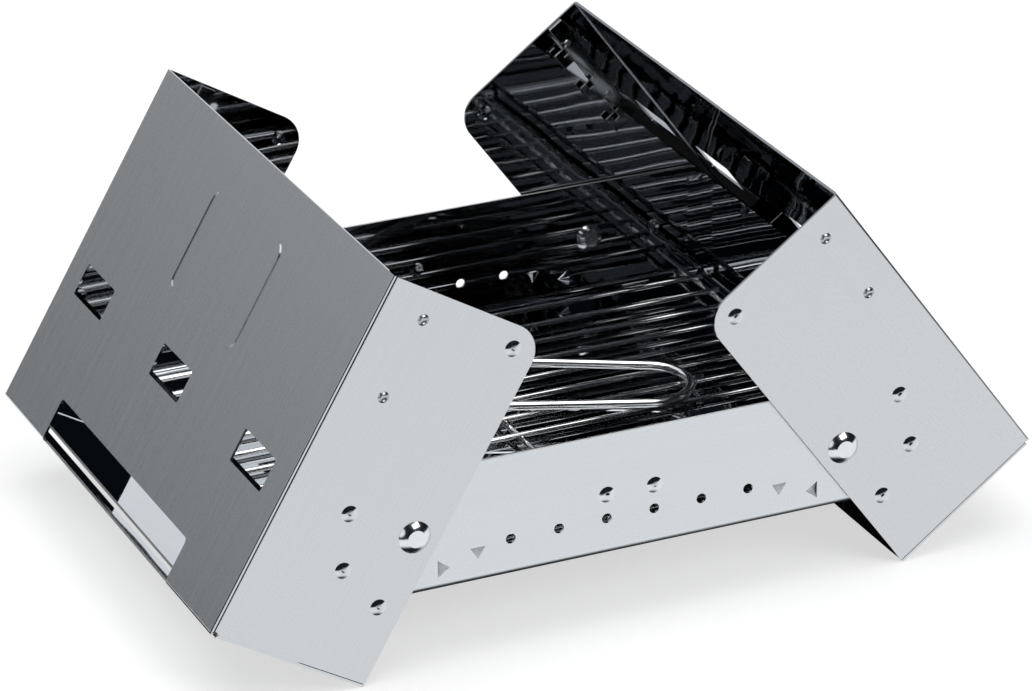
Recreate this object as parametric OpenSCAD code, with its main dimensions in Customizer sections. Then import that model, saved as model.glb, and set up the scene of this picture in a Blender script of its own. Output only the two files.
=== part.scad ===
// Folding tabletop grill of bent stainless steel sheet.
// A fire tray hangs between two wings that turn on rivets. The wings stand it up, and fold
// over it as a case. A wire grate and a loose wire lifter lie in the tray.
// X runs from the left wing to the right one, Y from front to back, Z up from the table.
// The origin is on the table, in the middle of the grill's outline as it stands.

/* [Tray] */
// Distance between the left and the right pivots
pivot_pitch = 180; // [170:1:200]
// Length of the tray beyond each pivot
tray_overhang = 53; // [50:0.5:54]
// Depth of the tray below the pivots
tray_drop = 25.9; // [22:0.1:26]
// Height of the tray's long walls above the pivots
tray_rise = 24.8; // [20:0.1:25]
// Step down from the long walls to the end walls
end_wall_dip = 2.3; // [1:0.1:6]
// Sheet thickness of the tray
tray_sheet = 1; // [0.8:0.1:1.2]
// Inside radius of the bends along the floor
floor_bend = 3; // [2.5:0.1:4]
// Radius at the upper ends of the long walls
wall_end_r = 6; // [4:0.5:8]
// Width of the tabs that close the tray's corners
corner_tab_w = 6; // [4:0.5:8]
// Gap between a corner tab's rounded top and the end wall's top
corner_tab_dip = 3; // [1:0.5:6]
// Diameter of the air holes in the long walls
air_hole_d = 4.1; // [3:0.1:6]
// Distance between neighbouring air holes
air_hole_pitch = 20; // [15:1:25]
// Depth of the air holes below the pivots
air_hole_drop = 10; // [6:0.5:12]
// Diameter of the stop dimples in the long walls
wall_dimple_d = 6.6; // [5:0.1:8]
// How far the stop dimples stand out of the long walls
wall_dimple_rise = 0.85; // [0.4:0.05:0.9]

/* [Ledges] */
// Distance of the upright ledge tabs from the middle of the tray
ledge_x = 63.5; // [58:0.5:68]
// Depth of a ledge tab's cut edge below the pivots
ledge_drop = 10.8; // [9:0.1:14]
// Length of a pressed tab from its cut edge to its tip
ledge_len = 4.9; // [4:0.1:6]
// Width of a ledge tab along its cut edge
ledge_w = 6.2; // [5:0.1:8]
// How far a pressed tab's cut edge stands in from the wall
tab_depth = 1.5; // [1.2:0.1:2.5]
// Distance of the sideways tabs' cut edges from the middle of the tray
stop_x = 80; // [76:0.5:84]
// Depth of the sideways tabs' middle below the pivots
stop_drop = 16.5; // [14:0.1:18]
// Width of a sideways tab along its cut edge
stop_w = 7; // [5:0.1:8]

/* [Wings] */
// Width over the outer faces of a wing's side flanges
wing_w = 230.7; // [200:0.1:260]
// Height of a wing from its foot plate to its free edge
wing_h = 150.2; // [145:0.1:151]
// Depth of a wing from its outer panel to the flanges' free edge
wing_d = 69.7; // [68:0.1:74]
// Sheet thickness of a wing
wing_sheet = 1; // [0.8:0.1:1.1]
// Distance of the pivots from the outer panel's face
pivot_in = 59.4; // [59:0.1:61]
// Height of the pivots above the underside of the foot plate
pivot_up = 61.2; // [61:0.1:64]
// Outer radius of a wing's bends
wing_bend = 1.6; // [1.4:0.1:3]
// Radius of the flanges' free upper corners
flange_corner_r = 12; // [6:0.5:16]
// Lean of the left wing as the grill stands, from upright
left_lean = 30.4; // [0:0.1:40]
// Lean of the right wing as the grill stands, from upright
right_lean = 36.4; // [0:0.1:40]

/* [Openings in the wings] */
// Width of an air window in the panel
window_w = 30; // [20:1:36]
// Height of an air window
window_h = 13.7; // [8:0.1:16]
// Height of the windows' lower edge above the foot plate's underside
window_up = 53.5; // [40:0.5:60]
// Distance between neighbouring windows
window_pitch = 85; // [60:1:90]
// Corner radius of a window
window_r = 1; // [0.5:0.1:3]
// Width of the cut-out at the panel's foot
foot_cut_w = 137; // [80:1:150]
// Height of the cut-out at the panel's foot
foot_cut_h = 19; // [12:0.5:24]
// Upper corner radius of the cut-out
foot_cut_r = 2; // [1:0.5:6]
// Length of the slot in the foot plate
foot_slot_l = 190; // [120:1:194]
// Width of the slot in the foot plate
foot_slot_w = 5.5; // [4:0.1:8]
// Distance of the foot slot's middle from the panel's face
foot_slot_in = 10.3; // [8:0.1:14]

/* [Stops and pressed field] */
// Radius of the ring of stop dimples round each pivot
stop_ring_r = 30; // [24:0.5:30]
// Distance below the flange's free edge of the dimple that holds the wing shut
shut_dimple_below_edge = 9; // [7:0.5:14]
// Diameter of a wing's pressed stop dimple
stop_dimple_d = 6.6; // [5:0.1:8]
// How far a wing's stop dimple stands out of its flange
dimple_rise = 0.85; // [0.4:0.05:1.2]
// Width of the bare pressed field in the panel
field_w = 68; // [40:1:90]
// Height of the pressed field's lower edge above the windows
field_above_windows = 16.8; // [8:0.1:24]
// Distance of the pressed field's upper edge below the panel's free edge
field_below_edge = 20.7; // [10:0.1:30]
// Corner radius of the pressed field
field_r = 6; // [3:0.5:12]
// Width of the rim pressed round the field
rim_w = 1.6; // [1.2:0.1:3]
// How far the rim stands out of the panel
rim_rise = 0.4; // [0.2:0.05:0.6]

/* [Pivots] */
// Diameter of a pivot rivet's shank
pivot_shank_d = 6; // [5:0.1:7]
// Diameter of a pivot rivet's outer head
pivot_head_d = 13; // [11:0.1:15]
// Height of the outer head
pivot_head_h = 1.9; // [1.5:0.1:2.5]
// Diameter of the rivet's closed inner head
pivot_tail_d = 12; // [10:0.1:13]
// Height of the inner head
pivot_tail_h = 2; // [1.5:0.1:2.5]
// Thickness of the washer between a flange and the tray, with its clearance
washer_gap = 1; // [0.95:0.05:1.5]
// Diameter of the washer
washer_d = 14; // [12:0.1:15]

/* [Hook strips] */
// Width of a hook strip
strip_w = 6.5; // [6:0.1:8]
// Sheet thickness of a hook strip
strip_sheet = 1; // [0.8:0.1:1.1]
// Clear height between the tray's long walls and the strips when a wing stands upright
strip_above_tray = 5; // [4:0.5:10]
// Distance of the top hook's seat below the wing's free edge
top_hook_below_edge = 14.2; // [12:0.1:20]
// How far the hooks stand in from the flange
hook_set = 2.2; // [2:0.1:2.6]
// Distance of the left wing's strip rivets from its panel's face
left_strip_in = 19.2; // [18:0.1:21]
// Distance of the right wing's strip rivets from its panel's face
right_strip_in = 14.2; // [13:0.1:15]
// Distance of the upper strip rivet below the wing's free edge
strip_rivet_below_edge = 11.2; // [8:0.1:13]
// Distance of the lower strip rivet above the strip's lower end
strip_rivet_above_end = 15.8; // [10:0.1:20]

/* [Grate] */
// Wire diameter of the grate
grate_wire_d = 2.5; // [2:0.1:2.6]
// Distance between neighbouring bars
bar_pitch = 15.75; // [12:0.05:16.5]
// How far the bars reach past the end cross wires' middle
bar_reach = 1.8; // [1.3:0.1:4]
// Gap between the cross wires' ends and the tray's walls
grate_side_gap = 0.15; // [0.1:0.01:0.4]

/* [Lifter] */
// Wire diameter of the lifter
lifter_wire_d = 3.9; // [3:0.1:5]
// Radius of the lifter's loop at the wire's middle
lifter_loop_r = 18.3; // [12:0.1:24]
// Length of the lifter's straight legs
lifter_leg = 120; // [80:1:130]
// Angle by which each leg spreads
lifter_spread = 3; // [0:0.5:5]
// Radius of the bend to the catch at each leg's end
catch_bend_r = 5; // [4:0.5:8]
// Length of the straight catch past its bend
catch_len = 6; // [3:0.5:10]
// Place of the loop's middle along the tray as the lifter lies
lifter_x = 61.5; // [40:0.5:64]
// Place of the loop's middle across the tray
lifter_y = -0.5; // [-10:0.5:10]
// Direction in which the lifter lies
lifter_turn = -25.4; // [-30:0.1:0]

/* [Hidden] */
$fn = 48;

// Overrun of every cut past the face it opens
cut = 0.5 * wing_sheet;
// Running clearance of a pivot rivet in a flange, and between flat faces that turn
run_gap = 0.05;
// Clearance of a closed rivet in the sheets it holds
rivet_gap = 0.02;
// Clearance left where the grate's wires are welded
weld_gap = 0.02;
// Clearance under pieces that only rest on others
rest_gap = 0.3;
// Slit between a flange's lower edge and the foot plate
seam_gap = 0.3;
// Radius of the relief hole where panel, flange and foot plate meet
relief_r = 1.2;

pivot_x = pivot_pitch / 2;
tray_x = pivot_x + tray_overhang;
wall_outer_y = wing_w / 2 - wing_sheet - washer_gap;
wall_inner_y = wall_outer_y - tray_sheet;
floor_z = -tray_drop + tray_sheet;
end_wall_z = tray_rise - end_wall_dip;
wing_side_y = wing_w / 2;
flange_inner_y = wing_side_y - wing_sheet;
detent_x = pivot_x + stop_ring_r;
shut_dimple_up = wing_h - pivot_up - shut_dimple_below_edge;
shut_dimple_x = pivot_x - shut_dimple_up;
field_up = window_up + window_h + field_above_windows;
field_h = wing_h - field_below_edge - field_up;
detent_at_45 = stop_ring_r * cos(45);

// Strip rivet heads, named from the strip they hold
strip_shank_r = 1.4;
strip_head_r = 2.3;
strip_head_h = 0.7;
strip_dish_r = 1.5;
strip_dish_depth = 0.55;
strip_tail_r = 1.6;
strip_tail_h = 0.6;

// A hook's outline, from the rivet line towards the hook's tip
hook_spine_in = 0.8;
hook_slot_in = 2.3;
hook_slot_w = grate_wire_d + 0.2 * strip_sheet;
hook_tip_w = 2.8;
hook_arm_h = 4.3;
hook_tip_h = 3.5;
hook_foot = 0.7;
hook_count = 3;
hook_slot_mid = hook_slot_in + hook_slot_w / 2;
hook_reach = hook_slot_in + hook_slot_w + hook_tip_w;

// The hooks share the height between the tray's walls and the wing's free edge
strip_low = pivot_up + tray_rise + strip_above_tray;
low_hook_up = strip_low + hook_foot + hook_arm_h;
top_hook_up = wing_h - top_hook_below_edge;
hook_pitch = (top_hook_up - low_hook_up) / (hook_count - 1);
strip_rivets_up = [wing_h - strip_rivet_below_edge, strip_low + strip_rivet_above_end];

// The hooks of both wings face the same way, so that the grate drops into all four at once
right_seat_in = right_strip_in + hook_slot_mid;
left_seat_in = left_strip_in - hook_slot_mid;
cross_x = pivot_x + pivot_in - (right_seat_in + left_seat_in) / 2;

// The cross wires' ends rest on the bends beside the floor
wire_r = grate_wire_d / 2;
bend_lift = floor_bend - sqrt(pow(floor_bend, 2) - pow(floor_bend - grate_side_gap, 2));
cross_z = floor_z + bend_lift + wire_r + rest_gap / 3;
cross_half = wall_inner_y - grate_side_gap;
bar_z = cross_z + grate_wire_d + weld_gap;
bar_half = cross_x + bar_reach;
bar_count = 13;
lifter_r = lifter_wire_d / 2;
lifter_z = bar_z + wire_r + lifter_r + rest_gap;
// Lap of the lifter's straight wire into its bends, where the wire is drawn thinner
wire_lap = lifter_r / 8;
bend_thin = 0.02;

// A point of a leaning wing, as its distance inwards from the pivot and its height above it
function lean_point(lean, p, q) = [
    (p - pivot_in) * cos(lean) + (q - pivot_up) * sin(lean),
    (q - pivot_up) * cos(lean) - (p - pivot_in) * sin(lean)
];
function left_point(p, q) = [-pivot_x, 0] + lean_point(left_lean, p, q);
function right_point(p, q) = [
    pivot_x - lean_point(right_lean, p, q)[0],
    lean_point(right_lean, p, q)[1]
];

// Both wings stand on the free edges of their foot plates, and the tray tilts to suit
left_foot = left_point(wing_d, 0);
right_foot = right_point(wing_d, 0);
tilt = atan2(right_foot[1] - left_foot[1], right_foot[0] - left_foot[0]);
function level(point) = [
    point[0] * cos(tilt) + point[1] * sin(tilt),
    point[1] * cos(tilt) - point[0] * sin(tilt)
];
table_z = level(left_foot)[1];
left_end_x = level(left_point(wing_bend, wing_bend))[0] - wing_bend;
right_end_x = level(right_point(wing_bend, wing_bend))[0] + wing_bend;
middle_x = (left_end_x + right_end_x) / 2;

// Puts a piece drawn round the tray's pivots where it stands on the table
module standing()
    translate([-middle_x, 0, -table_z]) rotate([0, tilt, 0]) children();

// Puts a piece drawn in a wing's own frame on the left or the right wing
module on_left_wing()
    standing() translate([-pivot_x, 0, 0]) rotate([0, left_lean, 0])
        translate([-pivot_in, 0, -pivot_up]) children();
module on_right_wing()
    standing() translate([pivot_x, 0, 0]) rotate([0, -right_lean, 0]) mirror([1, 0, 0])
        translate([-pivot_in, 0, -pivot_up]) children();

// Draws a front piece again at the back
module front_and_back() {
    children();
    mirror([0, 1, 0]) children();
}
module left_and_right() {
    children();
    mirror([1, 0, 0]) children();
}

// Extrudes an outline in X and Z from depth y0 to depth y1
module upright(y0, y1)
    translate([0, y1, 0]) rotate([90, 0, 0]) linear_extrude(y1 - y0) children();

// Flat outline with rounded corners, centred
module rounded_rect(w, h, r) {
    square([w - 2 * r, h], center = true);
    square([w, h - 2 * r], center = true);
    for (x = [-1, 1], y = [-1, 1])
        translate([x * (w / 2 - r), y * (h / 2 - r)]) circle(r);
}

// Dimple pressed out of a wall whose outer face is at z 0, standing out towards -z
function dome_r(d, rise) = (pow(d / 2, 2) + pow(rise, 2)) / (2 * rise);
module dimple_bulge(d, rise, sheet)
    intersection() {
        translate([0, 0, dome_r(d, rise) - rise]) sphere(dome_r(d, rise));
        translate([0, 0, -2 * rise]) cylinder(h = 2 * rise + sheet / 2, r = d);
    }
module dimple_hollow(d, rise, sheet)
    intersection() {
        translate([0, 0, dome_r(d, rise) - rise]) sphere(dome_r(d, rise) - sheet);
        translate([0, 0, -rise]) cylinder(h = rise + sheet + cut, r = d);
    }

// Rivet head with a low dome and a flat top, base at z 0
module rivet_head(d, h) {
    crown = 1.35 * h;
    intersection() {
        translate([0, 0, crown - dome_r(d, crown)]) sphere(dome_r(d, crown));
        cylinder(h = h, r = d / 2);
    }
}

// Places a shape drawn on a front wall, z inwards, at x and z of the wall
module on_front(x, y, z)
    translate([x, y, z]) rotate([-90, 0, 0]) children();

// Side outline of the tray, with rounded lower ends and upper wall ends
module tray_side_outline(inset, bottom_r, top_r) {
    half = tray_x - inset;
    low = -tray_drop + inset;
    difference() {
        translate([-half, low]) square([2 * half, tray_rise - low]);
        for (side = [-1, 1]) {
            difference() {
                translate([side * half, low]) square(2 * bottom_r, center = true);
                translate([side * (half - bottom_r), low + bottom_r]) circle(bottom_r);
                translate([side * (half - 2 * bottom_r), low])
                    square([2 * bottom_r, 2 * bottom_r], center = true);
                translate([side * half, low + 2 * bottom_r])
                    square([2 * bottom_r, 2 * bottom_r], center = true);
            }
            if (top_r > 0)
                difference() {
                    translate([side * half, tray_rise]) square(2 * top_r, center = true);
                    translate([side * (half - top_r), tray_rise - top_r]) circle(top_r);
                    translate([side * (half - 2 * top_r), tray_rise])
                        square([2 * top_r, 2 * top_r], center = true);
                    translate([side * half, tray_rise - 2 * top_r])
                        square([2 * top_r, 2 * top_r], center = true);
                }
        }
    }
}

// Cross section of the tray between its long walls
module tray_cross_outline(inset, bottom_r, top) {
    half = wall_outer_y - inset;
    low = -tray_drop + inset;
    translate([-half, low + bottom_r]) square([2 * half, top - low - bottom_r]);
    translate([-half + bottom_r, low]) square([2 * (half - bottom_r), 2 * bottom_r]);
    for (side = [-1, 1])
        translate([side * (half - bottom_r), low + bottom_r]) circle(bottom_r);
}

// Pressed tab that stands into the tray along its cut edge and runs out to a point below it.
// It is drawn with the middle of its cut edge on the wall's outer face, in being y.
module pressed_tab(w, len, in) {
    slope = atan(tab_depth / len);
    spread = sqrt(1 + pow(w / (2 * len), 2));
    lean = atan((spread * cos(slope) - 1) / (spread * sin(slope)));
    reach = len * cos(lean) + cut;
    intersection() {
        translate([0, in, -len]) rotate([lean, 0, 0])
            cylinder(h = reach, r1 = 0, r2 = reach * tan(lean + slope));
        translate([-w, in > 0 ? in / 2 : -cut, -2 * len])
            cube([2 * w, 2 * len, 2 * len]);
    }
}

module tray_blank() {
    difference() {
        intersection() {
            upright(-wall_outer_y, wall_outer_y)
                tray_side_outline(0, floor_bend + tray_sheet, wall_end_r);
            translate([-tray_x, 0, 0]) rotate([90, 0, 90]) linear_extrude(2 * tray_x)
                tray_cross_outline(0, floor_bend + tray_sheet, tray_rise);
        }
        intersection() {
            upright(-wall_inner_y, wall_inner_y)
                tray_side_outline(tray_sheet, floor_bend, 0);
            translate([-tray_x, 0, 0]) rotate([90, 0, 90]) linear_extrude(2 * tray_x)
                tray_cross_outline(tray_sheet, floor_bend, tray_rise + cut);
        }
        // The tray is open above
        translate([-tray_x + tray_sheet, -wall_inner_y, tray_rise - wall_end_r])
            cube([2 * (tray_x - tray_sheet), 2 * wall_inner_y, wall_end_r + cut]);
        // The end walls are lower than the long ones
        left_and_right()
            translate([tray_x - tray_sheet - cut, -wall_inner_y, end_wall_z])
                cube([tray_sheet + 2 * cut, 2 * wall_inner_y, end_wall_dip + cut]);
        // The long walls stop short of the end walls' outer face
        left_and_right() front_and_back()
            translate([tray_x - tray_sheet / 2, -wall_outer_y - cut, floor_z + floor_bend])
                cube([tray_sheet, tray_sheet + cut, tray_rise + tray_drop]);
    }
}

// Tabs of the end walls, folded along the long walls inside
module corner_tab() {
    tab_top = end_wall_z - corner_tab_dip;
    tab_r = corner_tab_w / 2;
    tab_x = tray_x - tray_sheet - corner_tab_w;
    upright(-wall_inner_y, -wall_inner_y + tray_sheet) {
        translate([tab_x, floor_z + floor_bend])
            square([corner_tab_w, tab_top - tab_r - floor_z - floor_bend]);
        translate([tab_x + tab_r, tab_top - tab_r]) circle(tab_r);
    }
}

module wall_dimples(hollow)
    for (x = [shut_dimple_x, detent_x])
        on_front(x, -wall_outer_y, 0)
            if (hollow)
                dimple_hollow(wall_dimple_d, wall_dimple_rise, tray_sheet);
            else
                dimple_bulge(wall_dimple_d, wall_dimple_rise, tray_sheet);

module wall_tabs(in) {
    translate([ledge_x, -wall_outer_y, -ledge_drop]) pressed_tab(ledge_w, ledge_len, in);
    translate([stop_x, -wall_outer_y, -stop_drop]) rotate([0, 90, 0])
        pressed_tab(stop_w, ledge_len, in);
}

module tray() color([0.78, 0.78, 0.76]) standing()
    difference() {
        union() {
            tray_blank();
            left_and_right() front_and_back() {
                corner_tab();
                wall_dimples(false);
                wall_tabs(tray_sheet);
            }
        }
        left_and_right() front_and_back() {
            wall_dimples(true);
            wall_tabs(0);
            for (k = [0.5, 1.5, 2.5])
                on_front(k * air_hole_pitch, -wall_outer_y - cut, -air_hole_drop)
                    cylinder(h = tray_sheet + 2 * cut, r = air_hole_d / 2);
            on_front(pivot_x, -wall_outer_y - cut, 0)
                cylinder(h = tray_sheet + 2 * cut, r = pivot_shank_d / 2 + rivet_gap);
        }
    }

// Outline of a wing's side: panel at the left, foot plate below, free upper corner rounded
module wing_side_outline(inset, bend_r) {
    low = inset;
    translate([low, low + bend_r]) square([wing_d - low, wing_h - low - bend_r]);
    translate([low + bend_r, low]) square([wing_d - low - bend_r, 2 * bend_r]);
    translate([low + bend_r, low + bend_r]) circle(bend_r);
}
module wing_side_trimmed()
    difference() {
        wing_side_outline(0, wing_bend);
        difference() {
            translate([wing_d - flange_corner_r, wing_h - flange_corner_r])
                square(2 * flange_corner_r);
            translate([wing_d - flange_corner_r, wing_h - flange_corner_r])
                circle(flange_corner_r);
        }
    }

// Outline of a wing seen from above: panel and two flanges
module wing_plan_outline(inset, bend_r) {
    half = wing_side_y - inset;
    translate([inset + bend_r, -half]) square([wing_d - inset - bend_r + cut, 2 * half]);
    translate([inset, -half + bend_r]) square([2 * bend_r, 2 * (half - bend_r)]);
    for (side = [-1, 1])
        translate([inset + bend_r, side * (half - bend_r)]) circle(bend_r);
}

module wing_blank()
    difference() {
        intersection() {
            upright(-wing_side_y, wing_side_y) wing_side_trimmed();
            linear_extrude(wing_h) wing_plan_outline(0, wing_bend);
        }
        intersection() {
            upright(-flange_inner_y, flange_inner_y)
                wing_side_outline(wing_sheet, wing_bend - wing_sheet);
            translate([0, 0, wing_sheet]) linear_extrude(wing_h)
                wing_plan_outline(wing_sheet, wing_bend - wing_sheet);
        }
        // The inside is open at the free edges
        translate([wing_bend, -flange_inner_y, wing_bend])
            cube([wing_d, 2 * flange_inner_y, wing_h]);
        translate([wing_d - cut, -flange_inner_y, wing_sheet])
            cube([2 * cut, 2 * flange_inner_y, wing_h]);
    }

// Places of the stop dimples round the pivot and of the one that holds the wing shut
module at_flange_dimples()
    for (place = [
        [-stop_ring_r, 0], [-detent_at_45, -detent_at_45], [0, -stop_ring_r],
        [0, shut_dimple_up]
    ])
        on_front(pivot_in + place[0], -wing_side_y, pivot_up + place[1]) children();

module panel_openings() {
    for (k = [-1, 0, 1])
        translate([-cut, k * window_pitch, window_up + window_h / 2]) rotate([90, 0, 90])
            linear_extrude(wing_sheet + 2 * cut) rounded_rect(window_w, window_h, window_r);
    translate([-cut, 0, 0]) rotate([90, 0, 90]) linear_extrude(wing_bend + cut) {
        translate([-foot_cut_w / 2, -cut])
            square([foot_cut_w, foot_cut_h - foot_cut_r + cut]);
        translate([-foot_cut_w / 2 + foot_cut_r, foot_cut_h - 2 * foot_cut_r])
            square([foot_cut_w - 2 * foot_cut_r, 2 * foot_cut_r]);
        for (side = [-1, 1])
            translate([side * (foot_cut_w / 2 - foot_cut_r), foot_cut_h - foot_cut_r])
                circle(foot_cut_r);
    }
}

// Rim round the pressed field, from one inset of its outline to another
module field_rim(outer, inner, from, rise)
    translate([from, 0, field_up + field_h / 2]) rotate([90, 0, 90]) linear_extrude(rise)
        difference() {
            rounded_rect(field_w - 2 * outer, field_h - 2 * outer, field_r - outer);
            rounded_rect(field_w - 2 * inner, field_h - 2 * inner, field_r - inner);
        }

// One bent blank, with its windows, slot, dimples and rivet holes
module wing(strip_in)
    difference() {
        union() {
            wing_blank();
            front_and_back() at_flange_dimples()
                dimple_bulge(stop_dimple_d, dimple_rise, wing_sheet);
            field_rim(0, rim_w, -rim_rise, 2 * rim_rise);
        }
        field_rim(rim_w / 4, rim_w * 3 / 4, wing_sheet - rim_rise, 2 * rim_rise);
        panel_openings();
        translate([foot_slot_in, 0, -cut]) linear_extrude(wing_sheet + 2 * cut)
            rounded_rect(foot_slot_w, foot_slot_l, foot_slot_w / 4);
        front_and_back() {
            at_flange_dimples() dimple_hollow(stop_dimple_d, dimple_rise, wing_sheet);
            translate([wing_bend, -wing_side_y - cut, wing_sheet])
                cube([wing_d, wing_sheet + cut, seam_gap]);
            on_front(wing_bend, -wing_side_y - cut, wing_sheet)
                cylinder(h = wing_sheet + 2 * cut, r = relief_r);
            on_front(pivot_in, -wing_side_y - cut, pivot_up)
                cylinder(h = wing_sheet + 2 * cut, r = pivot_shank_d / 2 + run_gap);
            for (up = strip_rivets_up)
                on_front(strip_in, -wing_side_y - cut, up)
                    cylinder(h = wing_sheet + 2 * cut, r = strip_shank_r + rivet_gap);
        }
    }
module left_wing() color([0.7, 0.7, 0.69]) on_left_wing() wing(left_strip_in);
module right_wing() color([0.72, 0.72, 0.71]) on_right_wing() wing(right_strip_in);

// Pivot rivet through flange, washer and tray wall, drawn at the left front pivot
module pivot_rivet()
    translate([0, -wing_side_y - run_gap, 0]) rotate([-90, 0, 0]) {
        grip = wing_side_y + run_gap - wall_inner_y;
        rotate([180, 0, 0]) rivet_head(pivot_head_d, pivot_head_h);
        cylinder(h = grip, r = pivot_shank_d / 2);
        translate([0, 0, grip]) rivet_head(pivot_tail_d, pivot_tail_h);
    }
module pivot_washer()
    translate([0, -flange_inner_y + run_gap, 0]) rotate([-90, 0, 0]) difference() {
        cylinder(h = washer_gap - run_gap, r = washer_d / 2);
        translate([0, 0, -cut])
            cylinder(h = washer_gap + 2 * cut, r = pivot_shank_d / 2 + rivet_gap);
    }

module left_front_pivot_rivet() color([0.86, 0.86, 0.85])
    standing() translate([-pivot_x, 0, 0]) pivot_rivet();
module left_rear_pivot_rivet() color([0.86, 0.86, 0.85])
    standing() translate([-pivot_x, 0, 0]) mirror([0, 1, 0]) pivot_rivet();
module right_front_pivot_rivet() color([0.86, 0.86, 0.85])
    standing() translate([pivot_x, 0, 0]) pivot_rivet();
module right_rear_pivot_rivet() color([0.86, 0.86, 0.85])
    standing() translate([pivot_x, 0, 0]) mirror([0, 1, 0]) pivot_rivet();
module left_front_washer() color([0.6, 0.6, 0.6])
    standing() translate([-pivot_x, 0, 0]) pivot_washer();
module left_rear_washer() color([0.6, 0.6, 0.6])
    standing() translate([-pivot_x, 0, 0]) mirror([0, 1, 0]) pivot_washer();
module right_front_washer() color([0.6, 0.6, 0.6])
    standing() translate([pivot_x, 0, 0]) pivot_washer();
module right_rear_washer() color([0.6, 0.6, 0.6])
    standing() translate([pivot_x, 0, 0]) mirror([0, 1, 0]) pivot_washer();

// Extrudes an outline between two depths in from the front flange's inner face
module in_from_flange(w0, w1)
    upright(-flange_inner_y + w0, -flange_inner_y + w1) children();

// Strip with three hooks, drawn on the front flange with its rivet line at x 0
module hook_strip() {
    strip_back = hook_slot_in - strip_w;
    difference() {
        in_from_flange(0, strip_sheet)
            translate([strip_back, strip_low])
                square([strip_w, wing_h - wing_sheet - strip_low]);
        for (up = strip_rivets_up)
            on_front(0, -flange_inner_y - cut, up)
                cylinder(h = strip_sheet + 2 * cut, r = strip_shank_r + rivet_gap);
    }
    for (k = [0:hook_count - 1]) {
        seat = top_hook_up - k * hook_pitch;
        in_from_flange(strip_sheet / 2, hook_set + strip_sheet)
            translate([hook_spine_in, seat - hook_arm_h])
                square([hook_slot_in - hook_spine_in, hook_arm_h]);
        in_from_flange(hook_set, hook_set + strip_sheet) {
            translate([hook_spine_in, seat - hook_arm_h])
                square([hook_reach - hook_spine_in, hook_arm_h]);
            translate([hook_spine_in, seat - hook_arm_h])
                square([hook_slot_in - hook_spine_in, hook_arm_h + hook_tip_h]);
            translate([hook_reach - hook_tip_w, seat - hook_arm_h])
                square([hook_tip_w, hook_arm_h + hook_tip_h]);
        }
    }
}

// Small rivet's outer head, dished in its middle
module dished_head()
    difference() {
        rivet_head(2 * strip_head_r, strip_head_h);
        translate([0, 0, strip_head_h + dome_r(2 * strip_dish_r, strip_dish_depth) - strip_dish_depth])
            sphere(dome_r(2 * strip_dish_r, strip_dish_depth));
    }

// Two small rivets of a strip, drawn with the rivet line at x 0
module strip_rivets()
    for (up = strip_rivets_up)
        on_front(0, -wing_side_y, up) {
            grip = wing_sheet + strip_sheet;
            rotate([180, 0, 0]) dished_head();
            cylinder(h = grip, r = strip_shank_r);
            translate([0, 0, grip]) rivet_head(2 * strip_tail_r, strip_tail_h);
        }

// On the left wing the hooks face the panel, on the right wing the free edge
module left_strip_place()
    on_left_wing() translate([left_strip_in, 0, 0]) mirror([1, 0, 0]) children();
module right_strip_place()
    on_right_wing() translate([right_strip_in, 0, 0]) children();

module left_front_hook_strip() color([0.5, 0.5, 0.5]) left_strip_place() hook_strip();
module left_rear_hook_strip() color([0.5, 0.5, 0.5])
    left_strip_place() mirror([0, 1, 0]) hook_strip();
module right_front_hook_strip() color([0.5, 0.5, 0.5]) right_strip_place() hook_strip();
module right_rear_hook_strip() color([0.5, 0.5, 0.5])
    right_strip_place() mirror([0, 1, 0]) hook_strip();
module left_front_strip_rivets() color([0.86, 0.86, 0.85])
    left_strip_place() strip_rivets();
module left_rear_strip_rivets() color([0.86, 0.86, 0.85])
    left_strip_place() mirror([0, 1, 0]) strip_rivets();
module right_front_strip_rivets() color([0.86, 0.86, 0.85])
    right_strip_place() strip_rivets();
module right_rear_strip_rivets() color([0.86, 0.86, 0.85])
    right_strip_place() mirror([0, 1, 0]) strip_rivets();

// One straight bar of the grate, counted from the front
module grate_bar(number) color([0.82, 0.82, 0.81]) standing()
    translate([-bar_half, (number - (bar_count + 1) / 2) * bar_pitch, bar_z])
        rotate([0, 90, 0]) cylinder(h = 2 * bar_half, r = wire_r);

// Cross wire under the bars, at the left end, the middle or the right end
module grate_cross(side) color([0.82, 0.82, 0.81]) standing()
    translate([side * cross_x, cross_half, cross_z])
        rotate([90, 0, 0]) cylinder(h = 2 * cross_half, r = wire_r);
module grate_cross_left() grate_cross(-1);
module grate_cross_middle() grate_cross(0);
module grate_cross_right() grate_cross(1);

// One leg of the lifter with its catch, spreading from the loop towards -x and +y
module lifter_side() {
    start = lifter_loop_r * [sin(lifter_spread), cos(lifter_spread)];
    along = [-cos(lifter_spread), sin(lifter_spread)];
    finish = start + lifter_leg * along;
    bend_mid = finish + catch_bend_r * [sin(lifter_spread), cos(lifter_spread)];
    tail = bend_mid - [catch_bend_r, 0];
    translate([start[0], start[1], 0]) rotate([0, 0, -lifter_spread]) rotate([0, -90, 0])
        translate([0, 0, -wire_lap]) cylinder(h = lifter_leg + 2 * wire_lap, r = lifter_r);
    translate([bend_mid[0], bend_mid[1], 0]) rotate([0, 0, 180])
        rotate_extrude(angle = 90 - lifter_spread)
            translate([catch_bend_r, 0]) circle(lifter_r - bend_thin);
    translate([tail[0], tail[1] - wire_lap, 0]) rotate([-90, 0, 0])
        cylinder(h = catch_len + wire_lap, r = lifter_r);
}
module grate_lifter() color([0.84, 0.84, 0.83]) standing()
    translate([lifter_x, lifter_y, lifter_z]) rotate([0, 0, lifter_turn]) {
        rotate([0, 0, lifter_spread - 90]) rotate_extrude(angle = 180 - 2 * lifter_spread)
            translate([lifter_loop_r, 0]) circle(lifter_r - bend_thin);
        front_and_back() lifter_side();
    }

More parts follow.
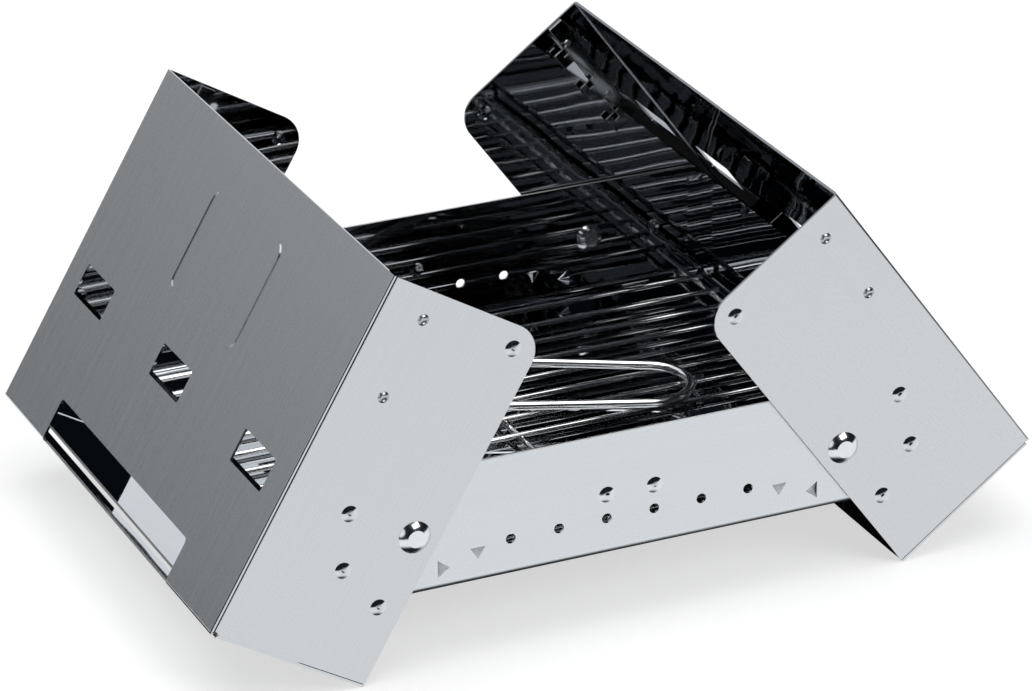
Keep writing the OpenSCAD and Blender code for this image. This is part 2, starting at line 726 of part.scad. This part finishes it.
tray();
left_wing();
right_wing();
left_front_pivot_rivet();
left_rear_pivot_rivet();
right_front_pivot_rivet();
right_rear_pivot_rivet();
left_front_washer();
left_rear_washer();
right_front_washer();
right_rear_washer();
left_front_hook_strip();
left_rear_hook_strip();
right_front_hook_strip();
right_rear_hook_strip();
left_front_strip_rivets();
left_rear_strip_rivets();
right_front_strip_rivets();
right_rear_strip_rivets();
for (number = [1:bar_count])
    grate_bar(number);
grate_cross_left();
grate_cross_middle();
grate_cross_right();
grate_lifter();
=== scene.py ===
import bpy
import bmesh
import math
from mathutils import Matrix, Vector


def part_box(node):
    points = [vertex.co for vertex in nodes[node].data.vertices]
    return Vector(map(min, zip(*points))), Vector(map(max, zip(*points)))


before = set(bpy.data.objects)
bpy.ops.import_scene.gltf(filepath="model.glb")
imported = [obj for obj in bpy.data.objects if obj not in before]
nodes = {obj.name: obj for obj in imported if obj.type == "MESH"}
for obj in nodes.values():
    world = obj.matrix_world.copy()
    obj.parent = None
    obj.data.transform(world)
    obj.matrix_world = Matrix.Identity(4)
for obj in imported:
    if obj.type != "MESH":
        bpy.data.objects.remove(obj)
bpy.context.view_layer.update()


# The wings: two identical blanks of 1 mm stainless sheet, each bent into a panel, two side
# flanges and a foot plate, and hung on the pivot rivets. The sheet is satin brushed outside,
# with the grain running up the panel and the flanges, and mirror polished inside, where its
# colour is darker than outside as painted shade.
TRAY_TILT = math.radians(0.65389)
LEFT_LEAN = math.radians(30.4) + TRAY_TILT
RIGHT_LEAN = math.radians(36.4) - TRAY_TILT
WING_OUTSIDE = (0.57, 0.575, 0.578, 1)
WING_INSIDE_PAINTED_SHADE = (0.34, 0.35, 0.37, 1)


def node(tree, kind, **settings):
    """A new node with its settings, such as its operation."""
    made = tree.nodes.new(kind)
    for setting, value in settings.items():
        setattr(made, setting, value)
    return made


def feed(tree, socket, value):
    """Links an output into a socket, or sets the socket to a plain value."""
    if isinstance(value, bpy.types.NodeSocket):
        tree.links.new(value, socket)
    else:
        socket.default_value = value


def math_node(tree, operation, *values):
    made = node(tree, "ShaderNodeMath", operation=operation)
    for socket, value in zip(made.inputs, values):
        feed(tree, socket, value)
    return made.outputs[0]


def dot(tree, vector, direction):
    """How far a vector points along a direction."""
    made = node(tree, "ShaderNodeVectorMath", operation="DOT_PRODUCT")
    feed(tree, made.inputs[0], vector)
    feed(tree, made.inputs[1], direction)
    return made.outputs["Value"]


def scaled(tree, colour, amount):
    """A colour made paler or darker."""
    made = node(tree, "ShaderNodeVectorMath", operation="SCALE")
    feed(tree, made.inputs[0], colour)
    feed(tree, made.inputs["Scale"], amount)
    return made.outputs[0]


def stretched(tree, vector, scale):
    """A place measured in a pattern's own steps along each axis."""
    made = node(tree, "ShaderNodeMapping")
    feed(tree, made.inputs["Vector"], vector)
    feed(tree, made.inputs["Scale"], scale)
    return made.outputs[0]


def split_xyz(tree, vector):
    made = node(tree, "ShaderNodeSeparateXYZ")
    feed(tree, made.inputs[0], vector)
    return made.outputs


def step(tree, value, low, high):
    """Runs smoothly from 0 at the low value to 1 at the high one."""
    made = node(tree, "ShaderNodeMapRange", interpolation_type="SMOOTHSTEP")
    feed(tree, made.inputs["Value"], value)
    feed(tree, made.inputs["From Min"], low)
    feed(tree, made.inputs["From Max"], high)
    return made.outputs["Result"]


def mix(tree, kind, factor, first, second):
    made = node(tree, "ShaderNodeMix", data_type=kind)
    feed(tree, made.inputs["Factor"], factor)
    feed(tree, made.inputs["A"], first)
    feed(tree, made.inputs["B"], second)
    return made.outputs["Result"]


def noise(tree, vector, scale, detail, roughness=0.5):
    made = node(tree, "ShaderNodeTexNoise", noise_dimensions="3D")
    feed(tree, made.inputs["Vector"], vector)
    feed(tree, made.inputs["Scale"], scale)
    feed(tree, made.inputs["Detail"], detail)
    feed(tree, made.inputs["Roughness"], roughness)
    return made.outputs["Fac"]


def bump(tree, height, distance):
    made = node(tree, "ShaderNodeBump")
    feed(tree, made.inputs["Distance"], distance)
    feed(tree, made.inputs["Height"], height)
    return made


def new_finish(name, *more):
    """An empty node group for a finish, with the sockets that each finish here has."""
    group = bpy.data.node_groups.new(name, "ShaderNodeTree")
    for label, kind in (("Vector", "Vector"), ("Shade", "Color"), ("Rough", "Float"), *more):
        group.interface.new_socket(label, in_out="INPUT", socket_type=f"NodeSocket{kind}")
    for label, kind in (("Color", "Color"), ("Roughness", "Float"), ("Height", "Float")):
        group.interface.new_socket(label, in_out="OUTPUT", socket_type=f"NodeSocket{kind}")
    given = node(group, "NodeGroupInput").outputs
    return group, given, node(group, "NodeGroupOutput").inputs


def finish(tree, group, **values):
    """Places a finish in a material with its own values."""
    made = node(tree, "ShaderNodeGroup", node_tree=group)
    for label, value in values.items():
        feed(tree, made.inputs[label], value)
    return made.outputs


# Brushed steel: long fine scratches along one direction, with broader streaks among them.
# The pattern takes few steps in a metre along the grain, and many across it.
GRAIN_UPWARD = (2600, 2600, 26)
GRAIN_LENGTHWISE = (26, 2600, 2600)
GRAIN_CONTRAST = 0.16
GRAIN_DEPTH = 0.000012
SCRATCH_SHARE = 0.65
STREAK_SHARE = 0.35
ROUGHNESS_SWING = 0.25
brushed_grain, given, result = new_finish("brushed grain", ("Contrast", "Float"))
scratches = noise(brushed_grain, given["Vector"], scale=1.0, detail=3.0, roughness=0.7)
streaks = noise(brushed_grain, given["Vector"], scale=0.12, detail=2.0)
grain = math_node(brushed_grain, "ADD",
                  math_node(brushed_grain, "MULTIPLY", scratches, SCRATCH_SHARE),
                  math_node(brushed_grain, "MULTIPLY", streaks, STREAK_SHARE))
uneven = math_node(brushed_grain, "SUBTRACT", grain, 0.5)
swing = math_node(brushed_grain, "MULTIPLY", uneven, given["Contrast"])
lift = math_node(brushed_grain, "ADD", swing, 1.0)
feed(brushed_grain, result["Color"], scaled(brushed_grain, given["Shade"], lift))
feed(brushed_grain, result["Roughness"],
     math_node(brushed_grain, "MULTIPLY_ADD", uneven, ROUGHNESS_SWING, given["Rough"]))
feed(brushed_grain, result["Height"], grain)

# Polished steel: nearly a mirror, a little wavy, with faint haze and smears
WAVE_DEPTH = 0.00038
SMEAR_PALENESS = 0.12
SMEAR_ROUGHNESS = 0.03
CLEAN_SHADE = 0.94
polished_sheet, given, result = new_finish("polished sheet")
waves = noise(polished_sheet, given["Vector"], scale=15.0, detail=1.0)
smears = noise(polished_sheet, given["Vector"], scale=60.0, detail=4.0)
haze = math_node(polished_sheet, "MULTIPLY_ADD", smears, SMEAR_PALENESS, CLEAN_SHADE)
feed(polished_sheet, result["Color"], scaled(polished_sheet, given["Shade"], haze))
feed(polished_sheet, result["Roughness"],
     math_node(polished_sheet, "MULTIPLY_ADD", smears, SMEAR_ROUGHNESS, given["Rough"]))
feed(polished_sheet, result["Height"], waves)


def plain_metal(name):
    """A new material of plain metal, with its tree and its shader's sockets."""
    material = bpy.data.materials.new(name)
    material.use_nodes = True
    surface = material.node_tree.nodes["Principled BSDF"].inputs
    surface["Metallic"].default_value = 1.0
    return material, material.node_tree, surface


# How squarely a face looks one way, where each look begins and where it is full
OUTER_FACES = (0.3, 0.6)
FLAT_FACES = (0.95, 0.995)
CROSSWISE_FACES = (0.5, 0.8)
UPWARD_FACES = (0.6, 0.9)
MIRROR_ROUGHNESS = 0.01
BEND_ROUGHNESS = 0.12
SATIN_ROUGHNESS = 0.16
# Pressed tabs are duller than the sheet round them and painted paler, a painted highlight, and
# a sheared rim is duller still and painted paler still, partly as a painted highlight
TAB_ROUGHNESS = 0.50
TAB_PAINTED_HIGHLIGHT = 0.25
SHEARED_RIM_PAINTED_HIGHLIGHT = (0.8, 0.8, 0.8, 1)
RIM_ROUGHNESS = 0.7


def sheet_steel(name, outside, inside, grains, turn, foot_normal, panel_normal=None,
                tab_zone=(-1, -1), rim_above=1):
    """Folded sheet, brushed on its outer faces and polished on its inner ones.

    A sheet without a panel_normal has a pair of end walls instead. Its inner faces take the
    darker inside colour as painted shade, and pressed tabs and the rim's sheared top are painted
    paler as painted highlights. Unless they are given, tab_zone and rim_above are heights that no
    point reaches: no tabs and no rim with its painted highlight.
    """
    material, tree, surface = plain_metal(name)
    place = node(tree, "ShaderNodeTexCoord").outputs
    point = split_xyz(tree, place["Object"])
    facing = split_xyz(tree, place["Normal"])

    # How squarely a face looks out of the fold: 1 outside, less on a bend, below 0 inside
    sideways = math_node(tree, "MULTIPLY", facing["Y"], math_node(tree, "SIGN", point["Y"]))
    if panel_normal is None:
        endways = math_node(tree, "MULTIPLY", facing["X"], math_node(tree, "SIGN", point["X"]))
    else:
        endways = dot(tree, place["Normal"], panel_normal)
    downward = dot(tree, place["Normal"], foot_normal)
    outward = math_node(tree, "MAXIMUM", sideways, math_node(tree, "MAXIMUM", endways, downward))
    outer = step(tree, outward, *OUTER_FACES)
    flat = step(tree, outward, *FLAT_FACES)

    # Bends and dimples are glossy, flat faces and pressed tabs are not
    below_tab_top = math_node(tree, "LESS_THAN", point["Z"], tab_zone[1])
    above_tab_foot = math_node(tree, "GREATER_THAN", point["Z"], tab_zone[0])
    sloped = math_node(tree, "SUBTRACT", 1.0, flat)
    tab = math_node(tree, "MULTIPLY",
                    math_node(tree, "MULTIPLY", below_tab_top, above_tab_foot), sloped)
    satin = math_node(tree, "MAXIMUM", below_tab_top, flat)
    dull = math_node(tree, "MULTIPLY_ADD", satin, SATIN_ROUGHNESS, BEND_ROUGHNESS)

    # The grain lies crosswise on the foot plate and on the tray's end walls
    turned = node(tree, "ShaderNodeVectorRotate", rotation_type="Y_AXIS")
    feed(tree, turned.inputs["Vector"], place["Object"])
    feed(tree, turned.inputs["Angle"], turn)
    across = dot(tree, place["Normal"], foot_normal if panel_normal else (1, 0, 0))
    crosswise = step(tree, math_node(tree, "ABSOLUTE", across), *CROSSWISE_FACES)
    grain_place = mix(tree, "VECTOR", crosswise,
                      stretched(tree, turned.outputs[0], grains[0]),
                      stretched(tree, turned.outputs[0], grains[1]))
    brushed = finish(tree, brushed_grain, Vector=grain_place, Shade=outside,
                     Rough=math_node(tree, "MULTIPLY_ADD", tab, TAB_ROUGHNESS, dull),
                     Contrast=GRAIN_CONTRAST)
    # The polished inner faces take the darker inside colour: painted shade
    mirror = finish(tree, polished_sheet, Vector=place["Object"], Shade=inside,
                    Rough=MIRROR_ROUGHNESS)

    # Pressed tabs are painted paler: a painted highlight
    paler = math_node(tree, "MULTIPLY_ADD", tab, TAB_PAINTED_HIGHLIGHT, 1.0)
    colour = mix(tree, "RGBA", outer, mirror["Color"], scaled(tree, brushed["Color"], paler))
    # The rim's upward sheared faces get a pale colour: a duller sheared edge, partly a painted
    # highlight
    high = math_node(tree, "GREATER_THAN", point["Z"], rim_above)
    rim = math_node(tree, "MULTIPLY", high, step(tree, facing["Z"], *UPWARD_FACES))
    feed(tree, surface["Base Color"], mix(tree, "RGBA", rim, colour, SHEARED_RIM_PAINTED_HIGHLIGHT))
    rough = mix(tree, "FLOAT", outer, mirror["Roughness"], brushed["Roughness"])
    feed(tree, surface["Roughness"],
         math_node(tree, "MULTIPLY_ADD", rim, RIM_ROUGHNESS, rough))

    scratch = bump(tree, brushed["Height"], GRAIN_DEPTH)
    feed(tree, scratch.inputs["Strength"], outer)
    wave = bump(tree, mirror["Height"], WAVE_DEPTH)
    feed(tree, wave.inputs["Strength"], math_node(tree, "SUBTRACT", 1.0, outer))
    feed(tree, wave.inputs["Normal"], scratch.outputs["Normal"])
    feed(tree, surface["Normal"], wave.outputs["Normal"])
    return material


def dress(name, material):
    """Gives a piece's CAD node its material."""
    mesh = nodes[name].data
    mesh.materials.clear()
    mesh.materials.append(material)


left_steel = sheet_steel(
    "left wing steel", WING_OUTSIDE, WING_INSIDE_PAINTED_SHADE,
    grains=(GRAIN_UPWARD, GRAIN_LENGTHWISE), turn=-LEFT_LEAN,
    foot_normal=(-math.sin(LEFT_LEAN), 0, -math.cos(LEFT_LEAN)),
    panel_normal=(-math.cos(LEFT_LEAN), 0, math.sin(LEFT_LEAN)))
right_steel = sheet_steel(
    "right wing steel", WING_OUTSIDE, WING_INSIDE_PAINTED_SHADE,
    grains=(GRAIN_UPWARD, GRAIN_LENGTHWISE), turn=RIGHT_LEAN,
    foot_normal=(math.sin(RIGHT_LEAN), 0, -math.cos(RIGHT_LEAN)),
    panel_normal=(math.cos(RIGHT_LEAN), 0, math.sin(RIGHT_LEAN)))
dress("left_wing", left_steel)
dress("right_wing", right_steel)


# The fire tray: one stainless sheet bent up into two long walls and two lower end walls, and
# hung between the wings on the pivot rivets. It is brushed outside along its length and
# mirror polished inside, where its colour is darker as painted shade. Its upper rim is left as
# sheared, with its top painted paler as a painted highlight, and tabs are pressed in its walls
# and painted paler as a painted highlight.
TRAY_OUTSIDE = (0.615, 0.622, 0.628, 1)
TRAY_INSIDE_PAINTED_SHADE = (0.31, 0.32, 0.335, 1)
# The tabs start a little above the tray's lowest point, past the bend, and end at a height
# above the table. The end walls' rims lie lower than the long walls', by less than RIM_DROP.
TAB_START = 0.007
TAB_END = 0.052
RIM_DROP = 0.016
tray_low, tray_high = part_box("tray")
tray_steel = sheet_steel(
    "tray steel", TRAY_OUTSIDE, TRAY_INSIDE_PAINTED_SHADE,
    grains=(GRAIN_LENGTHWISE, GRAIN_UPWARD), turn=0, foot_normal=(0, 0, -1),
    tab_zone=(tray_low[2] + TAB_START, TAB_END), rim_above=tray_high[2] - RIM_DROP)
dress("tray", tray_steel)


# The rivets: four big pivots, and pairs of small dished ones that hold the hook strips. They
# are turned and headed from bright stainless wire, so their domes are polished. The small ones
# are painted darker than the pivots, as painted shade.
CORNERS = [f"{end}_{side}" for end in ("left", "right") for side in ("front", "rear")]
POLISH_DEPTH = 0.0000015


def polished_steel(name, shade, rough, wave_size):
    """Bright steel all over; a larger wave_size packs its smears and waves closer."""
    material, tree, surface = plain_metal(name)
    place = node(tree, "ShaderNodeTexCoord").outputs["Object"]
    bright = finish(tree, polished_sheet, Vector=stretched(tree, place, (wave_size,) * 3),
                    Shade=shade, Rough=rough)
    feed(tree, surface["Base Color"], bright["Color"])
    feed(tree, surface["Roughness"], bright["Roughness"])
    feed(tree, surface["Normal"], bump(tree, bright["Height"], POLISH_DEPTH).outputs["Normal"])
    return material


rivet_steel = polished_steel(
    "rivet steel", shade=(0.66, 0.67, 0.68, 1), rough=0.14, wave_size=8)
# Darker than the pivot rivets' steel: painted shade
small_rivet_steel_painted_shade = polished_steel(
    "small rivet steel", shade=(0.46, 0.47, 0.48, 1), rough=0.28, wave_size=8)
for corner in CORNERS:
    dress(f"{corner}_pivot_rivet", rivet_steel)
    dress(f"{corner}_strip_rivets", small_rivet_steel_painted_shade)


# The washers: plain rings punched from stainless sheet, one on each pivot rivet between the
# wing's flange and the tray's wall.
washer_steel = polished_steel(
    "washer steel", shade=(0.55, 0.55, 0.55, 1), rough=0.28, wave_size=20)
for corner in CORNERS:
    dress(f"{corner}_washer", washer_steel)


# The hook strips: stamped from polished stainless sheet, with hooks to hang the grate on, and
# riveted inside the flanges. Their faces are painted dark grey as painted shade, and their
# sheared edges are lighter and duller than their faces.
SHEARED_EDGE = (0.75, 0.75, 0.75, 1)
SHEARED_ROUGHNESS = 0.6
STRIP_FACES = (0.3, 0.7)
# Dark grey faces: painted shade
strip_steel_painted_shade = polished_steel(
    "hook strip steel", shade=(0.12, 0.125, 0.13, 1), rough=0.04, wave_size=6)
tree = strip_steel_painted_shade.node_tree
surface = tree.nodes["Principled BSDF"].inputs
facing = split_xyz(tree, node(tree, "ShaderNodeTexCoord").outputs["Normal"])
face = step(tree, math_node(tree, "ABSOLUTE", facing["Y"]), *STRIP_FACES)
for label, kind, sheared in (("Base Color", "RGBA", SHEARED_EDGE),
                             ("Roughness", "FLOAT", SHEARED_ROUGHNESS)):
    polished = surface[label].links[0].from_socket
    feed(tree, surface[label], mix(tree, kind, face, sheared, polished))
for corner in CORNERS:
    dress(f"{corner}_hook_strip", strip_steel_painted_shade)


# The grate: thirteen straight bars of bright drawn wire, welded on three cross wires below
# them. It lies loose on the tray's ledges.
BAR_COUNT = 13
wire_steel = polished_steel(
    "grate wire", shade=(0.80, 0.80, 0.80, 1), rough=0.09, wave_size=14)
for number in range(1, BAR_COUNT + 1):
    dress(f"grate_bar_{number}", wire_steel)
for cross in ("left", "middle", "right"):
    dress(f"grate_cross_{cross}", wire_steel)


# The lifter: a loose tool of thicker bright wire, bent to a narrow loop with two long legs.
# It lies on the grate, and its ends are bent down between the bars.
lifter_steel = polished_steel(
    "lifter wire", shade=(0.90, 0.90, 0.90, 1), rough=0.15, wave_size=10)
dress("grate_lifter", lifter_steel)


# The table: a plain pale floor that takes the grill's soft shadow. It isn't part of the
# grill. It shows nearly white to the camera, and paler further off.
TABLE_REACH = 8
TABLE_GREY = (0.52, 0.52, 0.52, 1)
NEAR_GLOW = 0.62
GLOW_GAIN = 0.4
GLOW_DISTANCES = (0.5, 2.5)
table_mesh = bpy.data.meshes.new("table")
shape = bmesh.new()
bmesh.ops.create_grid(shape, x_segments=1, y_segments=1, size=TABLE_REACH)
shape.to_mesh(table_mesh)
shape.free()
table = bpy.data.objects.new("table", table_mesh)
bpy.context.scene.collection.objects.link(table)
table_paint = bpy.data.materials.new("table paint")
table_paint.use_nodes = True
tree = table_paint.node_tree
paint = tree.nodes["Principled BSDF"]
paint.inputs["Base Color"].default_value = TABLE_GREY
paint.inputs["Roughness"].default_value = 0.9
paint.inputs["Specular IOR Level"].default_value = 0.0
seen = node(tree, "ShaderNodeLightPath").outputs
place = node(tree, "ShaderNodeTexCoord").outputs["Object"]
away = node(tree, "ShaderNodeVectorMath", operation="LENGTH")
feed(tree, away.inputs[0], place)
far_off = step(tree, away.outputs["Value"], *GLOW_DISTANCES)
paler = math_node(tree, "MULTIPLY_ADD", far_off, GLOW_GAIN, NEAR_GLOW)
glow = node(tree, "ShaderNodeEmission")
feed(tree, glow.inputs["Color"], (1, 1, 1, 1))
feed(tree, glow.inputs["Strength"], math_node(tree, "MULTIPLY", seen["Is Camera Ray"], paler))
glowing = node(tree, "ShaderNodeAddShader")
feed(tree, glowing.inputs[0], paint.outputs[0])
feed(tree, glowing.inputs[1], glow.outputs[0])
# Polished steel sees the grill's own dark shadow close under it, and past the shadow it sees
# through the table to the studio's light
SHADOW_HALF_LENGTH = 0.23
SHADOW_HALF_WIDTH = 0.112
SHADOW_EDGE = (0.92, 1.04)
SHADOW_GREY = (0.03, 0.03, 0.03, 1)
span = split_xyz(tree, stretched(tree, place, (1 / SHADOW_HALF_LENGTH, 1 / SHADOW_HALF_WIDTH, 0)))
reach = math_node(tree, "MAXIMUM", math_node(tree, "ABSOLUTE", span["X"]),
                  math_node(tree, "ABSOLUTE", span["Y"]))
shadow = node(tree, "ShaderNodeBsdfDiffuse")
feed(tree, shadow.inputs["Color"], SHADOW_GREY)
beneath = node(tree, "ShaderNodeMixShader")
feed(tree, beneath.inputs["Fac"], step(tree, reach, *SHADOW_EDGE))
feed(tree, beneath.inputs[1], shadow.outputs[0])
feed(tree, beneath.inputs[2], node(tree, "ShaderNodeBsdfTransparent").outputs[0])
chosen = node(tree, "ShaderNodeMixShader")
feed(tree, chosen.inputs["Fac"], seen["Is Glossy Ray"])
feed(tree, chosen.inputs[1], glowing.outputs[0])
feed(tree, chosen.inputs[2], beneath.outputs[0])
feed(tree, tree.nodes["Material Output"].inputs["Surface"], chosen.outputs[0])
table_mesh.materials.append(table_paint)


# The studio: plain white behind the grill for the camera. The steel sees the lit table below
# the horizon and a dark room above it, with one pale screen and one dim wall.
world = bpy.data.worlds.new("studio")
bpy.context.scene.world = world
world.use_nodes = True
tree = world.node_tree
look = node(tree, "ShaderNodeTexCoord").outputs["Generated"]
toward = split_xyz(tree, look)
# The table's edge runs a little aslant, and higher behind the grill than in front of it
HORIZON_HEIGHT = -0.215
HORIZON_SLANT = 0.155
HORIZON_RISE = 0.185
HORIZON_BLUR = 0.045
aslant = math_node(tree, "MULTIPLY_ADD", toward["X"], HORIZON_SLANT, HORIZON_HEIGHT)
behind = math_node(tree, "MAXIMUM", toward["Y"], 0.0)
horizon = math_node(tree, "MULTIPLY_ADD", behind, HORIZON_RISE, aslant)
lit = step(tree, math_node(tree, "SUBTRACT", horizon, toward["Z"]), 0.0, HORIZON_BLUR)
# Steeply down, close to the grill, the table lies in the grill's shadow
STEEP_SHADOW = (-0.93, -0.77)
TABLE_LIGHT = 1.16
ROOM_LIGHT = 0.012
table_light = math_node(tree, "MULTIPLY", lit, step(tree, toward["Z"], *STEEP_SHADOW))
below = math_node(tree, "MULTIPLY_ADD", table_light, TABLE_LIGHT, ROOM_LIGHT)
# The pale screen, to the camera's left, draws the bright line along each bend
SCREEN_WAY = Vector((-0.76, -0.51, 0.20)).normalized()
SCREEN_EDGE = (0.91, 0.95)
SCREEN_LIGHT = 1.1
to_screen = step(tree, dot(tree, look, SCREEN_WAY), *SCREEN_EDGE)
screen = math_node(tree, "MULTIPLY", to_screen, SCREEN_LIGHT)
# The dim wall, behind the grill, greys the left wing's panel
WALL_WAY = Vector((-0.48, 0.66, 0.56)).normalized()
WALL_EDGE = (0.78, 0.96)
WALL_LIGHT = 0.75
to_wall = step(tree, dot(tree, look, WALL_WAY), *WALL_EDGE)
wall = math_node(tree, "MULTIPLY", to_wall, WALL_LIGHT)
light = math_node(tree, "MAXIMUM", below, math_node(tree, "MAXIMUM", screen, wall))
# The light is a little cool, and the gloom more so
room = node(tree, "ShaderNodeCombineColor")
for channel, share, gloom in (("Red", 0.97, 0.0), ("Green", 1.0, 0.004), ("Blue", 1.03, 0.009)):
    tint = math_node(tree, "MULTIPLY_ADD", light, share, gloom)
    feed(tree, room.inputs[channel], tint)
seen = node(tree, "ShaderNodeLightPath").outputs
backdrop = mix(tree, "RGBA", seen["Is Camera Ray"], room.outputs["Color"], (1, 1, 1, 1))
feed(tree, tree.nodes["Background"].inputs["Color"], backdrop)


def softbox(name, place, aim, size, power):
    """A plain soft lamp, with its size in metres and its power in watts."""
    lamp = bpy.data.lights.new(name, "AREA")
    lamp.shape = "RECTANGLE"
    lamp.size, lamp.size_y = size
    lamp.energy = power
    holder = bpy.data.objects.new(name, lamp)
    bpy.context.scene.collection.objects.link(holder)
    holder.location = place
    holder.rotation_euler = (Vector(aim) - Vector(place)).to_track_quat("-Z", "Y").to_euler()


softbox("overhead softbox", place=(-0.1, -0.1, 1.9), aim=(0, 0, 0), size=(2.0, 2.0), power=32)
softbox("front softbox", place=(0.83, -1.84, 1.50), aim=(0, 0, 0.05), size=(1.3, 0.8), power=14)


# The camera, as it stood for the photograph: far off with a long lens, from the left front.
# Its place and its directions are measured round the middle of the tray's pivots.
PIVOTS_MIDDLE = Vector((-0.0007344, 0, 0.0567151))


def tilted(x, y, z):
    """A direction measured on the tray, turned as the tray stands."""
    c, s = math.cos(TRAY_TILT), math.sin(TRAY_TILT)
    return Vector((x * c + z * s, y, z * c - x * s))


lens = bpy.data.cameras.new("camera")
lens.sensor_width = 36
lens.lens = 167.03
lens.shift_x = -0.03313
lens.shift_y = -0.00739
lens.clip_end = 50
camera = bpy.data.objects.new("camera", lens)
bpy.context.scene.collection.objects.link(camera)
right = tilted(0.90618, -0.42288, -0.00203)
up = tilted(0.17594, 0.37265, 0.91114)
back = tilted(-0.38455, -0.82601, 0.41210)
spot = tilted(-0.714441, -1.576043, 0.799229) + PIVOTS_MIDDLE
facing_grill = Matrix((right, up, back)).transposed().to_4x4()
camera.matrix_world = Matrix.Translation(spot) @ facing_grill
bpy.context.scene.camera = camera
bpy.context.scene.view_settings.view_transform = "Standard"
